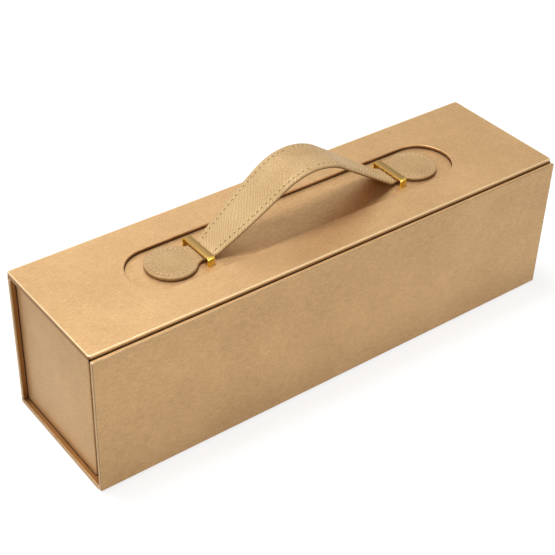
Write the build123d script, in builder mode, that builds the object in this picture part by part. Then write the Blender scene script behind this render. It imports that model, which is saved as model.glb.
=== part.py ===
"""A rigid one-bottle wine box: a wrapped book-style case round a glued tray, with a hinged lid, a
front flap held shut by magnets, and a padded strap handle that slides in two brass loops.

Millimetres. +X along the box, +Z up, the front flap towards -Y. The origin is the centre of the
footprint, at the height of the surface that the box stands on.
"""
from build123d import *
import math
import os

os.makedirs("parts", exist_ok=True)

# The case, over everything but the handle
case_length = 350.0
case_depth = 95.0
case_height = 100.0

# The boards of the case and the grooves where its paper folds
bottom_board_thickness = 3.0
cover_board_thickness = 2.5
lid_base_thickness = 1.2
lid_top_thickness = 2.8
board_edge_radius = 0.5
groove_gap = 0.8
groove_recess = 0.6
flap_slot_width = 1.0
flap_top_rise = 1.5
flap_floor_gap = 1.5
flap_board_clearance = 0.7

# The tray inside the case
end_overhang = 3.5
front_gap = 8.8
tray_wall_thickness = 2.0
wrap_thickness = 0.3
liner_thickness = 0.4
liner_margin = 3.0
tray_corner_radius = 1.0
rim_clearance = 0.1
lining_drop = 3.0

# The magnets, and the bar that carries the flap's pair to the tray
magnet_radius = 7.5
tray_magnet_thickness = 1.5
flap_magnet_thickness = 2.0
magnet_pocket_clearance = 0.1
magnet_spacing = 220.0
magnet_height = 22.0
magnet_bar_length = 300.0
magnet_bar_height = 28.0
magnet_bar_clearance = 0.3

# The bottle that the bed is cut for, and the bed
bottle_radius = 37.5
bottle_length = 300.0
bottle_body_length = 195.0
bottle_shoulder_length = 50.0
bottle_neck_radius = 14.5
bottle_base_edge_radius = 5.0
bottle_mouth_radius = 1.0
bottle_clearance = 0.5
bed_thickness_under_bottle = 8.0
bed_height = 28.0
bed_side_clearance = 0.2
neck_rest_length = 62.0

# The recess in the lid and the brass loops in it
recess_length = 243.0
recess_width = 41.0
recess_liner_clearance = 0.2
loop_spacing = 148.0
loop_width = 5.0
loop_span = 27.0
loop_rise = 5.7
loop_strip_thickness = 0.8
loop_bend_radius = 1.2
prong_length = 6.0
slot_clearance = 0.1

# The strap handle
strap_thickness = 2.4
strap_neck_width = 17.0
strap_crown_width = 37.5
strap_crown_rise = 40.5
strap_crown_radius = 46.0
strap_root_radius = 14.0
grip_length = 30.0
tab_radius = 16.0
tab_reach = 35.3
tab_shoulder_radius = 6.0
strap_floor_clearance = 0.3

# Planes and lengths worked out from the sizes above
half_length = case_length / 2
case_front = -case_depth / 2
case_back = case_depth / 2
flap_inner = case_front + cover_board_thickness
lid_front = flap_inner + flap_slot_width
lid_under = case_height - lid_top_thickness - lid_base_thickness
recess_floor = case_height - lid_top_thickness
spine_inner = case_back - cover_board_thickness
spine_base = bottom_board_thickness + groove_gap
spine_top = lid_under - groove_gap

tray_half_length = half_length - end_overhang
tray_front = flap_inner + front_gap
tray_back = spine_inner
tray_base = bottom_board_thickness
tray_depth = tray_back - tray_front
tray_centre = (tray_back + tray_front) / 2
rim_height = lid_under - liner_thickness - rim_clearance
wall_top = rim_height - wrap_thickness
wall_half_length = tray_half_length - wrap_thickness
wall_front = tray_front + wrap_thickness
wall_back = tray_back - wrap_thickness
wall_depth = wall_back - wall_front
inner_half_length = wall_half_length - tray_wall_thickness
inner_front = wall_front + tray_wall_thickness
inner_back = wall_back - tray_wall_thickness
inner_depth = inner_back - inner_front
floor_top = tray_base + tray_wall_thickness
lining_floor = floor_top + liner_thickness
lined_half_length = inner_half_length - liner_thickness
lined_depth = inner_depth - 2 * liner_thickness

bottle_axis_height = lining_floor + bed_thickness_under_bottle + bottle_radius
bottle_base = -bottle_length / 2
bottle_shoulder = bottle_base + bottle_body_length
bottle_neck = bottle_shoulder + bottle_shoulder_length

strap_mid_height = recess_floor + wrap_thickness + strap_floor_clearance + strap_thickness / 2
strap_half_run = (loop_spacing - loop_width) / 2
strap_rise = case_height + strap_crown_rise - strap_thickness / 2 - strap_mid_height
loop_top = recess_floor + wrap_thickness + loop_rise


def wrapped_board(length, depth, thickness, centre):
    """One board with its paper, with the soft edges that the paper gives it."""
    with BuildPart() as board:
        with Locations(centre):
            Box(length, depth, thickness)
        fillet(board.edges(), radius=board_edge_radius)
    return board.part


def save(part, name):
    """Labels a finished piece and writes it as its own file."""
    part.label = name
    export_step(part, f"parts/{name}.step")


# The fixed boards of the case
bottom_front = flap_inner + flap_board_clearance
with BuildPart() as bottom_board:
    add(
        wrapped_board(
            case_length,
            case_back - bottom_front,
            bottom_board_thickness,
            (0, (case_back + bottom_front) / 2, bottom_board_thickness / 2),
        )
    )
save(bottom_board.part, "bottom_board")

with BuildPart() as back_board:
    add(
        wrapped_board(
            case_length,
            cover_board_thickness,
            spine_top - spine_base,
            (0, (case_back + spine_inner) / 2, (spine_top + spine_base) / 2),
        )
    )
save(back_board.part, "back_board")

# The folded paper in the groove between the bottom board and the back board
crease_depth = cover_board_thickness - groove_recess
with BuildPart() as back_crease:
    with BuildSketch(Plane.YZ):
        with Locations((spine_inner, bottom_board_thickness)):
            Rectangle(crease_depth, groove_gap, align=(Align.MIN, Align.MIN))
    extrude(amount=half_length - groove_recess, both=True)
save(back_crease.part, "back_crease_paper")

# The tray's boards: the ends run the full depth, with the long walls and the floor between them
with BuildPart() as tray_floor:
    with BuildSketch(Plane.XY.offset(tray_base)):
        with Locations((0, (inner_front + inner_back) / 2)):
            Rectangle(2 * inner_half_length, inner_depth)
    extrude(amount=tray_wall_thickness)
save(tray_floor.part, "tray_floor")

for side, sign in (("left", -1), ("right", 1)):
    with BuildPart() as tray_end:
        with BuildSketch(Plane.XY.offset(tray_base)):
            with Locations((sign * (wall_half_length - tray_wall_thickness / 2), tray_centre)):
                Rectangle(tray_wall_thickness, wall_depth)
        extrude(amount=wall_top - tray_base)
        outer_edges = tray_end.edges().filter_by(Axis.Z).group_by(Axis.X)[-1 if sign > 0 else 0]
        fillet(outer_edges, radius=tray_corner_radius - wrap_thickness)
    save(tray_end.part, f"tray_{side}_end")

with BuildPart() as tray_back_wall:
    with BuildSketch(Plane.XY.offset(tray_base)):
        with Locations((0, wall_back - tray_wall_thickness / 2)):
            Rectangle(2 * inner_half_length, tray_wall_thickness)
    extrude(amount=wall_top - tray_base)
save(tray_back_wall.part, "tray_back_wall")

front_plane = Plane(origin=(0, wall_front, 0), x_dir=(1, 0, 0), z_dir=(0, -1, 0))
magnet_places = [(-magnet_spacing / 2, magnet_height), (magnet_spacing / 2, magnet_height)]
with BuildPart() as tray_front_wall:
    with BuildSketch(Plane.XY.offset(tray_base)):
        with Locations((0, wall_front + tray_wall_thickness / 2)):
            Rectangle(2 * inner_half_length, tray_wall_thickness)
    extrude(amount=wall_top - tray_base)
    with BuildSketch(front_plane):
        with Locations(*magnet_places):
            Circle(magnet_radius + magnet_pocket_clearance)
    extrude(amount=-tray_magnet_thickness, mode=Mode.SUBTRACT)
save(tray_front_wall.part, "tray_front_wall")

with BuildPart() as tray_magnets:
    with BuildSketch(front_plane):
        with Locations(*magnet_places):
            Circle(magnet_radius)
    extrude(amount=-tray_magnet_thickness)
save(tray_magnets.part, "tray_magnets")

# The paper round the outside of the tray, turned in over the rim
with BuildPart() as tray_wrap:
    with BuildSketch(Plane.XY.offset(tray_base)):
        with Locations((0, tray_centre)):
            RectangleRounded(2 * tray_half_length, tray_depth, tray_corner_radius)
            RectangleRounded(
                2 * wall_half_length,
                wall_depth,
                tray_corner_radius - wrap_thickness,
                mode=Mode.SUBTRACT,
            )
    extrude(amount=wall_top - tray_base)
    with BuildSketch(Plane.XY.offset(wall_top)):
        with Locations((0, tray_centre)):
            RectangleRounded(2 * tray_half_length, tray_depth, tray_corner_radius)
            Rectangle(2 * inner_half_length, inner_depth, mode=Mode.SUBTRACT)
    extrude(amount=wrap_thickness)
save(tray_wrap.part, "tray_wrap_paper")

# The lining inside the tray, an open paper box that stops below the rim
with BuildPart() as tray_lining:
    with BuildSketch(Plane.XY.offset(floor_top)):
        with Locations((0, tray_centre)):
            Rectangle(2 * inner_half_length, inner_depth)
    extrude(amount=wall_top - lining_drop - floor_top)
    with BuildSketch(Plane.XY.offset(lining_floor)):
        with Locations((0, tray_centre)):
            Rectangle(2 * lined_half_length, lined_depth)
    extrude(amount=case_height, mode=Mode.SUBTRACT)
save(tray_lining.part, "tray_lining")


def bottle_form(clearance):
    """The bottle lying along X, grown by a clearance, with its shoulder and its mouth."""
    body = bottle_radius + clearance
    neck = bottle_neck_radius + clearance
    start = bottle_base - clearance
    end = -bottle_base + clearance
    with BuildPart() as bottle:
        with BuildSketch(Plane.XZ.offset(-tray_centre)):
            with BuildLine():
                outline = FilletPolyline(
                    (start, bottle_axis_height),
                    (start, bottle_axis_height + body),
                    (bottle_shoulder, bottle_axis_height + body),
                    (bottle_neck, bottle_axis_height + neck),
                    (end, bottle_axis_height + neck),
                    (end, bottle_axis_height),
                    radius=[
                        bottle_base_edge_radius,
                        bottle_radius,
                        bottle_radius,
                        bottle_mouth_radius,
                    ],
                )
                Line(outline @ 1, outline @ 0)
            make_face()
        revolve(axis=Axis((0, tray_centre, bottle_axis_height), (1, 0, 0)))
    return bottle.part


# The foam bed under the bottle's body, and the higher block under its neck
bed_half_length = lined_half_length - bed_side_clearance
bed_depth = lined_depth - 2 * bed_side_clearance
bottle_hollow = bottle_form(bottle_clearance)
with BuildPart() as bottle_bed:
    with BuildSketch(Plane.XY.offset(lining_floor)):
        with Locations((-bed_half_length, tray_centre)):
            Rectangle(bed_half_length + bottle_shoulder, bed_depth, align=(Align.MIN, Align.CENTER))
    extrude(amount=bed_height)
    add(bottle_hollow, mode=Mode.SUBTRACT)
save(bottle_bed.part, "bottle_bed_foam")

with BuildPart() as neck_rest:
    with BuildSketch(Plane.XY.offset(lining_floor)):
        with Locations((bed_half_length, tray_centre)):
            Rectangle(neck_rest_length, bed_depth, align=(Align.MAX, Align.CENTER))
    extrude(amount=bottle_axis_height - lining_floor)
    add(bottle_hollow, mode=Mode.SUBTRACT)
save(neck_rest.part, "neck_rest_foam")


# The lid: a base board, and a top board whose cut-out makes the recess for the handle
lid_depth = case_back - lid_front
lid_centre = (case_back + lid_front) / 2
loop_leg = (loop_span - loop_strip_thickness) / 2
loop_places = [(sign * loop_spacing / 2, lid_centre) for sign in (-1, 1)]
leg_places = [(x, y + sign * loop_leg) for x, y in loop_places for sign in (-1, 1)]
pocket_places = [
    (x, y + sign * (loop_leg + prong_length / 2)) for x, y in loop_places for sign in (-1, 1)
]
pocket_depth = loop_strip_thickness + slot_clearance / 2
pocket_width = loop_width + 2 * slot_clearance
pocket_length = prong_length + loop_strip_thickness + 2 * slot_clearance
leg_slot_length = loop_strip_thickness + 2 * slot_clearance
with BuildPart() as lid_base_board:
    with BuildSketch(Plane.XY.offset(lid_under)):
        with Locations((0, lid_centre)):
            RectangleRounded(case_length, lid_depth, board_edge_radius)
        with Locations(*leg_places):
            Rectangle(pocket_width, leg_slot_length, mode=Mode.SUBTRACT)
    extrude(amount=lid_base_thickness)
    with BuildSketch(Plane.XY.offset(lid_under)):
        with Locations(*pocket_places):
            Rectangle(pocket_width, pocket_length)
    extrude(amount=pocket_depth, mode=Mode.SUBTRACT)
save(lid_base_board.part, "lid_base_board")

with BuildPart() as lid_top_board:
    with BuildSketch(Plane.XY.offset(recess_floor)):
        with Locations((0, lid_centre)):
            RectangleRounded(case_length, lid_depth, board_edge_radius)
            SlotOverall(recess_length, recess_width, mode=Mode.SUBTRACT)
    extrude(amount=lid_top_thickness)
    fillet(lid_top_board.edges().group_by(Axis.Z)[-1], radius=board_edge_radius)
save(lid_top_board.part, "lid_top_board")

with BuildPart() as recess_liner:
    with BuildSketch(Plane.XY.offset(recess_floor)):
        with Locations((0, lid_centre)):
            SlotOverall(
                recess_length - 2 * recess_liner_clearance,
                recess_width - 2 * recess_liner_clearance,
            )
        with Locations(*leg_places):
            Rectangle(pocket_width, leg_slot_length, mode=Mode.SUBTRACT)
    extrude(amount=wrap_thickness)
save(recess_liner.part, "recess_liner_paper")

# The paper panel under the lid, inside a bare margin
liner_front = lid_front + liner_margin
liner_back = spine_inner - liner_margin
with BuildPart() as lid_liner:
    with BuildSketch(Plane.XY.offset(lid_under)):
        with Locations((0, (liner_front + liner_back) / 2)):
            Rectangle(case_length - 2 * liner_margin, liner_back - liner_front)
    extrude(amount=-liner_thickness)
save(lid_liner.part, "lid_liner_paper")

# The brass loops: a flat strip bent over the strap, its prongs folded out under the base board
for side, sign in (("left", -1), ("right", 1)):
    prong_height = lid_under + pocket_depth - loop_strip_thickness / 2
    crown_height = loop_top - loop_strip_thickness / 2
    with BuildPart() as loop:
        with BuildSketch(Plane.YZ.offset(sign * loop_spacing / 2)):
            with BuildLine():
                FilletPolyline(
                    (lid_centre - loop_leg - prong_length, prong_height),
                    (lid_centre - loop_leg, prong_height),
                    (lid_centre - loop_leg, crown_height),
                    (lid_centre + loop_leg, crown_height),
                    (lid_centre + loop_leg, prong_height),
                    (lid_centre + loop_leg + prong_length, prong_height),
                    radius=[0, loop_bend_radius, loop_bend_radius, 0],
                )
            trace(line_width=loop_strip_thickness)
        extrude(amount=loop_width / 2, both=True)
    save(loop.part, f"{side}_brass_loop")

# The folded papers that hinge the lid to the back board and the flap to the lid
with BuildPart() as lid_hinge:
    with BuildSketch(Plane.YZ):
        with Locations((spine_inner, lid_under)):
            Rectangle(crease_depth, groove_gap, align=(Align.MIN, Align.MAX))
            Rectangle(liner_margin, liner_thickness, align=(Align.MAX, Align.MAX))
    extrude(amount=half_length - groove_recess, both=True)
save(lid_hinge.part, "lid_hinge_paper")

with BuildPart() as flap_hinge:
    with BuildSketch(Plane.YZ):
        with Locations((flap_inner, lid_under)):
            Rectangle(flap_slot_width + liner_margin, liner_thickness, align=(Align.MIN, Align.MAX))
            Rectangle(liner_thickness, liner_margin, align=(Align.MIN, Align.MAX))
    extrude(amount=half_length - groove_recess, both=True)
save(flap_hinge.part, "flap_hinge_paper")

# The flap: its board, its liner, and the bar that closes the gap to the tray
flap_top = lid_under + flap_top_rise
with BuildPart() as flap_board:
    add(
        wrapped_board(
            case_length,
            cover_board_thickness,
            flap_top - flap_floor_gap,
            (0, (case_front + flap_inner) / 2, (flap_top + flap_floor_gap) / 2),
        )
    )
save(flap_board.part, "flap_board")

flap_liner_top = lid_under - liner_margin
flap_liner_base = flap_floor_gap + liner_margin
flap_plane = Plane(origin=(0, flap_inner, 0), x_dir=(-1, 0, 0), z_dir=(0, 1, 0))
with BuildPart() as flap_liner:
    with BuildSketch(flap_plane):
        with Locations((0, (flap_liner_top + flap_liner_base) / 2)):
            Rectangle(case_length - 2 * liner_margin, flap_liner_top - flap_liner_base)
    extrude(amount=liner_thickness)
save(flap_liner.part, "flap_liner_paper")

bar_front = flap_inner + liner_thickness
bar_back = tray_front - magnet_bar_clearance - wrap_thickness
bar_plane = Plane(origin=(0, bar_back, 0), x_dir=(-1, 0, 0), z_dir=(0, 1, 0))
with BuildPart() as magnet_bar:
    with BuildSketch(bar_plane):
        with Locations((0, magnet_height)):
            Rectangle(magnet_bar_length, magnet_bar_height)
    extrude(amount=bar_front - bar_back)
    with BuildSketch(bar_plane):
        with Locations(*magnet_places):
            Circle(magnet_radius + magnet_pocket_clearance)
    extrude(amount=-flap_magnet_thickness, mode=Mode.SUBTRACT)
save(magnet_bar.part, "magnet_bar")

with BuildPart() as flap_magnets:
    with BuildSketch(bar_plane):
        with Locations(*magnet_places):
            Circle(magnet_radius)
    extrude(amount=-flap_magnet_thickness)
save(flap_magnets.part, "flap_magnets")

with BuildPart() as bar_facing:
    with BuildSketch(bar_plane):
        with Locations((0, magnet_height)):
            Rectangle(magnet_bar_length, magnet_bar_height)
    extrude(amount=wrap_thickness)
save(bar_facing.part, "magnet_bar_facing_paper")

# The strap: an arch from loop to loop, waisted at the loops, cut into the crown that the hand
# takes and the two flanks that bend when the handle is pressed flat
arc_sum = strap_crown_radius + strap_root_radius
arc_drop = arc_sum - strap_rise
centre_distance = math.hypot(strap_half_run, arc_drop)
flank_length = math.sqrt(centre_distance**2 - arc_sum**2)
flank_tilt = math.asin(arc_sum / centre_distance) - math.atan2(arc_drop, strap_half_run)
flank_degrees = math.degrees(flank_tilt)


def strap_arch():
    """The whole arch between the loops, one thickness throughout and widest at its crown."""
    with BuildPart() as arch:
        with BuildSketch(Plane.XZ.offset(-lid_centre)):
            with BuildLine():
                start = (-strap_half_run, strap_mid_height)
                root = JernArc(start, (1, 0), strap_root_radius, flank_degrees)
                flank = PolarLine(root @ 1, flank_length, flank_degrees)
                JernArc(flank @ 1, flank % 1, strap_crown_radius, -flank_degrees)
                mirror(about=Plane.YZ)
            trace(line_width=strap_thickness)
        extrude(amount=strap_crown_width, both=True)
        with BuildSketch(Plane.XY.offset(recess_floor)):
            with BuildLine():
                for sign in (-1, 1):
                    ThreePointArc(
                        (-strap_half_run, lid_centre + sign * strap_neck_width / 2),
                        (0, lid_centre + sign * strap_crown_width / 2),
                        (strap_half_run, lid_centre + sign * strap_neck_width / 2),
                    )
                    Line(
                        (sign * strap_half_run, lid_centre - strap_neck_width / 2),
                        (sign * strap_half_run, lid_centre + strap_neck_width / 2),
                    )
            make_face()
        extrude(amount=case_height, mode=Mode.INTERSECT)
    return arch.part


strap_blank = strap_arch()
with BuildPart() as grip:
    add(strap_blank)
    split(bisect_by=Plane.YZ.offset(-grip_length / 2), keep=Keep.TOP)
    split(bisect_by=Plane.YZ.offset(grip_length / 2), keep=Keep.BOTTOM)
save(grip.part, "strap_crown")

for side, keep, place in (("left", Keep.BOTTOM, -1), ("right", Keep.TOP, 1)):
    with BuildPart() as flank:
        add(strap_blank)
        split(bisect_by=Plane.YZ.offset(place * grip_length / 2), keep=keep)
    save(flank.part, f"{side}_strap_flank")

# The end tabs, round paddles that can't pass the loops, each with its neck under the loop
tab_height = strap_mid_height - strap_thickness / 2
for side, sign in (("left", -1), ("right", 1)):
    tab_tip = loop_spacing / 2 + tab_reach
    tab_centre = tab_tip - tab_radius
    with BuildPart() as tab:
        with BuildSketch(Plane.XY.offset(tab_height)) as outline:
            with Locations((sign * tab_centre, lid_centre)):
                Circle(tab_radius)
            with Locations((sign * (tab_centre + strap_half_run) / 2, lid_centre)):
                Rectangle(tab_centre - strap_half_run, strap_neck_width)
            corners = outline.vertices().group_by(Axis.X)
            fillet(corners[1 if sign > 0 else -2], radius=tab_shoulder_radius)
        extrude(amount=strap_thickness)
    save(tab.part, f"{side}_strap_tab")
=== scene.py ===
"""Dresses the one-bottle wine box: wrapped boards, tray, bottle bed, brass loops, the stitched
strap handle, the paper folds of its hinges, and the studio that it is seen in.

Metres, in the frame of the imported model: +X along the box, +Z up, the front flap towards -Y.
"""
from __future__ import annotations

import logging
import math
from collections.abc import Callable, Sequence
from dataclasses import dataclass
from enum import Enum
from typing import Any

import bmesh
import bpy
import numpy as np
from mathutils import Matrix, Vector


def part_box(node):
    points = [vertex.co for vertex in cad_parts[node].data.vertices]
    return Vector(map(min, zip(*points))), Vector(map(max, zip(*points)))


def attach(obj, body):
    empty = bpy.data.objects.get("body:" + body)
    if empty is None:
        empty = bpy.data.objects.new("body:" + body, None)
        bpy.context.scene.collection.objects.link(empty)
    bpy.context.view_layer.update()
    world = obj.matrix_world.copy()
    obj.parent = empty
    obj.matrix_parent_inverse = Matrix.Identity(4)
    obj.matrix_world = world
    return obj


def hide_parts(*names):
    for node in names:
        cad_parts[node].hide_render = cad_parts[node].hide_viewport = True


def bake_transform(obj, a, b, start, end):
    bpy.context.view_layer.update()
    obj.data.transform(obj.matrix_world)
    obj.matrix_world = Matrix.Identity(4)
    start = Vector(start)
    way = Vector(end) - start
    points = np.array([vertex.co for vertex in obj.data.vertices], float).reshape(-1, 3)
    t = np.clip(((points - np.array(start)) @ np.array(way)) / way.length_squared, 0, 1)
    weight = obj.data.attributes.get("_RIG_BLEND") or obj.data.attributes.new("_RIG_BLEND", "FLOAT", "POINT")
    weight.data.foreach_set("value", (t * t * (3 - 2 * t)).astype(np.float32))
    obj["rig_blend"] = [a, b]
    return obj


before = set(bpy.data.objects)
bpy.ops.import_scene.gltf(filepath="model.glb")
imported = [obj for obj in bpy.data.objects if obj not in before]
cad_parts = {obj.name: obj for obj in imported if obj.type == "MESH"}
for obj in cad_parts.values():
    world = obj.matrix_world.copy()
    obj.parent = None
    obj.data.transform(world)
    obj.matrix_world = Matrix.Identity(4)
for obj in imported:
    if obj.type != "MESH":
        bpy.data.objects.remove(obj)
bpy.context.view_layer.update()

LOG = logging.getLogger("wine_box")
MM = 0.001
# Marks painted shade on the paper, and the dark edge paint on the strap.
PAINTED_SHADE_AND_EDGE = "painted_shade_and_edge"
# Marks the painted highlight on rounded paper edges.
PAINTED_HIGHLIGHT = "painted_highlight"
ROUND_STEPS = 4
Colour = tuple[float, float, float, float]
Pair = tuple[float, float]


def tone(red: int, green: int, blue: int) -> Colour:
    """Turns a colour as a screen shows it, 0 to 255, into the linear colour of a shader.

    Args:
        red: The red of the screen colour.
        green: The green of the screen colour.
        blue: The blue of the screen colour.

    Returns:
        The linear colour, opaque.
    """
    linear = []
    for level in (red, green, blue):
        share = level / 255
        linear.append(share / 12.92 if share <= 0.04045 else ((share + 0.055) / 1.055) ** 2.4)
    return (linear[0], linear[1], linear[2], 1.0)


class Slot(Enum):
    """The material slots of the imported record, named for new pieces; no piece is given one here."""

    BOARD = "gold_board"
    PAPER = "gold_paper"
    LINING = "lining_paper"
    BRASS = "brass"
    STRAP = "strap_leather"
    FOAM = "flocked_foam"


class Signal:
    """One output of a shader node, with arithmetic that adds Math nodes."""

    def __init__(self, graph: Graph, socket: bpy.types.NodeSocket) -> None:
        """Keeps the graph that the value belongs to, and its socket."""
        self.graph = graph
        self.socket = socket

    def _math(self, operation: str, first: Signal | float, second: Signal | float) -> Signal:
        """Adds one Math node that works on two values."""
        return self.graph.add("Math", {0: first, 1: second}, {"operation": operation})

    def __add__(self, other: Signal | float) -> Signal:
        """Adds a value."""
        return self._math("ADD", self, other)

    def __radd__(self, other: float) -> Signal:
        """Adds to a number."""
        return self._math("ADD", other, self)

    def __sub__(self, other: Signal | float) -> Signal:
        """Takes a value away."""
        return self._math("SUBTRACT", self, other)

    def __rsub__(self, other: float) -> Signal:
        """Is taken away from a number."""
        return self._math("SUBTRACT", other, self)

    def __mul__(self, other: Signal | float) -> Signal:
        """Multiplies by a value."""
        return self._math("MULTIPLY", self, other)

    def __rmul__(self, other: float) -> Signal:
        """Multiplies a number."""
        return self._math("MULTIPLY", other, self)

    def at_least(self, other: Signal | float) -> Signal:
        """Takes the larger of two values."""
        return self._math("MAXIMUM", self, other)

    def at_most(self, other: Signal | float) -> Signal:
        """Takes the smaller of two values."""
        return self._math("MINIMUM", self, other)

    def clipped(self) -> Signal:
        """Cuts the value off below 0 and above 1."""
        return self.at_least(0.0).at_most(1.0)

    def rise(self, start: float, width: float) -> Signal:
        """Goes from 0 to 1 while the value passes over a width from a start."""
        return ((self - start) * (1 / width)).clipped()


class Graph:
    """The node tree of one material or of the world."""

    # How many lines a wave texture of scale 1 draws to the metre.
    LINES = 20 / (2 * math.pi)

    def __init__(self, name: str, world: bpy.types.World | None = None) -> None:
        """Starts an empty node tree.

        Args:
            name: The name of the material.
            world: The world to dress instead of a new material.
        """
        self.owner = world or bpy.data.materials.new(name)
        self.owner.use_nodes = True
        self.tree = self.owner.node_tree
        self.tree.nodes.clear()

    def add(
        self,
        kind: str,
        inputs: dict[int | str, Any] | None = None,
        settings: dict[str, Any] | None = None,
        output: int | str = 0,
    ) -> Signal:
        """Adds one node.

        Args:
            kind: The node's type, after the word that all shader nodes start with.
            inputs: A number, a colour or a Signal for each socket that is used.
            settings: The node's own settings, which are set first.
            output: The output socket that is wanted.

        Returns:
            That output.
        """
        node = self.tree.nodes.new(f"ShaderNode{kind}")
        for name, value in (settings or {}).items():
            setattr(node, name, value)
        for key, value in (inputs or {}).items():
            if isinstance(value, Signal):
                self.tree.links.new(value.socket, node.inputs[key])
            else:
                node.inputs[key].default_value = value
        return Signal(self, node.outputs[output])

    def place(self) -> Signal:
        """Gives the point on the piece, in metres."""
        return self.add("TexCoord", output="Object")

    def marked(self, name: str) -> Signal:
        """Gives how strongly a mesh is marked at a point, from 0 to 1."""
        return self.add("Attribute", None, {"attribute_name": name}, "Fac")

    def along(self) -> Signal:
        """Gives the point on a strap's flat pattern, in metres along it and across it."""
        return self.add("UVMap", None, {"uv_map": StrapForm.PATTERN})

    def part(self, where: Signal, axis: str) -> Signal:
        """Gives one coordinate of a point."""
        return self.add("SeparateXYZ", {0: where}, None, axis)

    def ray(self, kind: str) -> Signal:
        """Gives 1 for one kind of ray."""
        return self.add("LightPath", output=f"Is {kind} Ray")

    def shown(self) -> Signal:
        """Gives 1 for what the camera or a clear body sees, and 0 for light."""
        return self.ray("Camera").at_least(self.ray("Transmission"))

    def stretched(self, where: Signal, longer: float, turn: float = 0.0, axis: int = 0) -> Signal:
        """Stretches a pattern along one axis, then turns it.

        Args:
            where: The coordinates.
            longer: How many times longer the pattern gets.
            turn: The turn about the third axis, in degrees.
            axis: The axis, counted from 0.

        Returns:
            The new coordinates.
        """
        scale = [1.0, 1.0, 1.0]
        scale[axis] = longer
        inputs = {"Vector": where, "Rotation": (0.0, 0.0, math.radians(turn)), "Scale": scale}
        return self.add("Mapping", inputs, {"vector_type": "TEXTURE"})

    def noise(self, where: Signal, size: float, detail: float = 3.0, rough: float = 0.6) -> Signal:
        """Adds cloudy noise, about 0.5 on average.

        Args:
            where: The coordinates.
            size: The size of its largest clouds.
            detail: How many finer layers it has.
            rough: How strong they are.

        Returns:
            The noise.
        """
        inputs = {"Vector": where, "Scale": 1 / size, "Detail": detail, "Roughness": rough}
        return self.add("TexNoise", inputs)

    def lines(self, where: Signal, pitch: float, wander: float) -> Signal:
        """Adds fine lines across the first axis, from 0 to 1.

        Args:
            where: The coordinates.
            pitch: The distance from line to line.
            wander: How much the lines wander and break off.

        Returns:
            The lines.
        """
        inputs = {
            "Vector": where,
            "Scale": 1 / (self.LINES * pitch),
            "Distortion": wander,
            "Detail": 2.0,
            "Detail Scale": 0.35,
            "Detail Roughness": 0.6,
        }
        return self.add("TexWave", inputs, {"bands_direction": "X"}, "Fac")

    def pebbles(self, where: Signal, size: float) -> Signal:
        """Adds small round cells of a size, 0 in the middle of each."""
        inputs = {"Vector": where, "Scale": 1 / size, "Smoothness": 0.7}
        return self.add("TexVoronoi", inputs, {"feature": "SMOOTH_F1"}, "Distance")

    def mixed(self, share: Signal | float, first: Any, second: Any) -> Signal:
        """Mixes two colours."""
        return self.add("Mix", {0: share, 6: first, 7: second}, {"data_type": "RGBA"}, 2)

    def relief(self, height: Signal, depth: float) -> Signal:
        """Turns a height from 0 to 1, which stands for a depth, into a normal."""
        return self.add("Bump", {"Height": height, "Distance": depth})

    def end(self, shader: Signal) -> None:
        """Ends the tree with a shader.

        Args:
            shader: The shader of the whole surface or of the world.
        """
        kind = "World" if isinstance(self.owner, bpy.types.World) else "Material"
        node = self.tree.nodes.new(f"ShaderNodeOutput{kind}")
        self.tree.links.new(shader.socket, node.inputs["Surface"])

    def surface(self, inputs: dict[str, Any]) -> bpy.types.Material:
        """Ends the tree with one surface shader.

        Args:
            inputs: The values or links of the shader's sockets.

        Returns:
            The finished material.
        """
        self.end(self.add("BsdfPrincipled", inputs))
        return self.owner


@dataclass(frozen=True)
class Finish:
    """A finish: the name of its material and the two tones that it varies between."""

    name: str
    light: Colour
    dark: Colour


@dataclass(frozen=True)
class PaperFinish(Finish):
    """A wrapping paper: its painted shade on marked faces, its painted highlight on marked edges, its
    embossed grain, its pearl.
    """

    # Painted shade: the darker tone given where the paper lies in shade, on inner faces, the lid's sides and
    # the recess wall.
    painted_shade_tone: Colour = tone(164, 116, 64)
    # Painted highlight: the pale tone given to rounded edges where they would catch the light.
    pale: Colour = tone(252, 224, 176)
    highlight_share: float = 0.75
    grain: float = 1.1 * MM
    mottle: float = 7.0 * MM
    cloud: float = 60.0 * MM
    emboss: float = 0.16 * MM
    roughness: float = 0.42
    pearl: float = 0.66
    contrast: float = 3.6

    def make(self) -> bpy.types.Material:
        """Makes the paper's material, with painted shade where it is marked for shade and a painted
        highlight on marked edges.
        """
        graph = Graph(self.name)
        where = graph.place()
        speckle = graph.noise(where, self.grain, 4.0, 0.7)
        cells = graph.pebbles(where, self.grain * 0.9)
        fibres = graph.noise(graph.stretched(where, 4.0), self.grain)
        mottle = graph.noise(where, self.mottle, 2.0)
        cloud = graph.noise(where, self.cloud, 3.0, 0.55)
        mix = speckle * 0.38 + fibres * 0.26 + mottle * 0.1 + cloud * 0.26
        share = ((mix - 0.5) * self.contrast + 0.5).clipped()
        open_face = graph.mixed(share, self.dark, self.light)
        # Painted highlight on the marked rounded edges.
        edged = graph.mixed(graph.marked(PAINTED_HIGHLIGHT) * self.highlight_share, open_face, self.pale)
        return graph.surface(
            {
                # Painted shade: the marked points take the darker tone.
                "Base Color": graph.mixed(graph.marked(PAINTED_SHADE_AND_EDGE), edged, self.painted_shade_tone),
                "Roughness": self.roughness + (0.5 - speckle) * 0.3,
                "Metallic": self.pearl,
                "Normal": graph.relief(speckle * 0.6 + (1 - cells) * 0.4, self.emboss),
            }
        )


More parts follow.
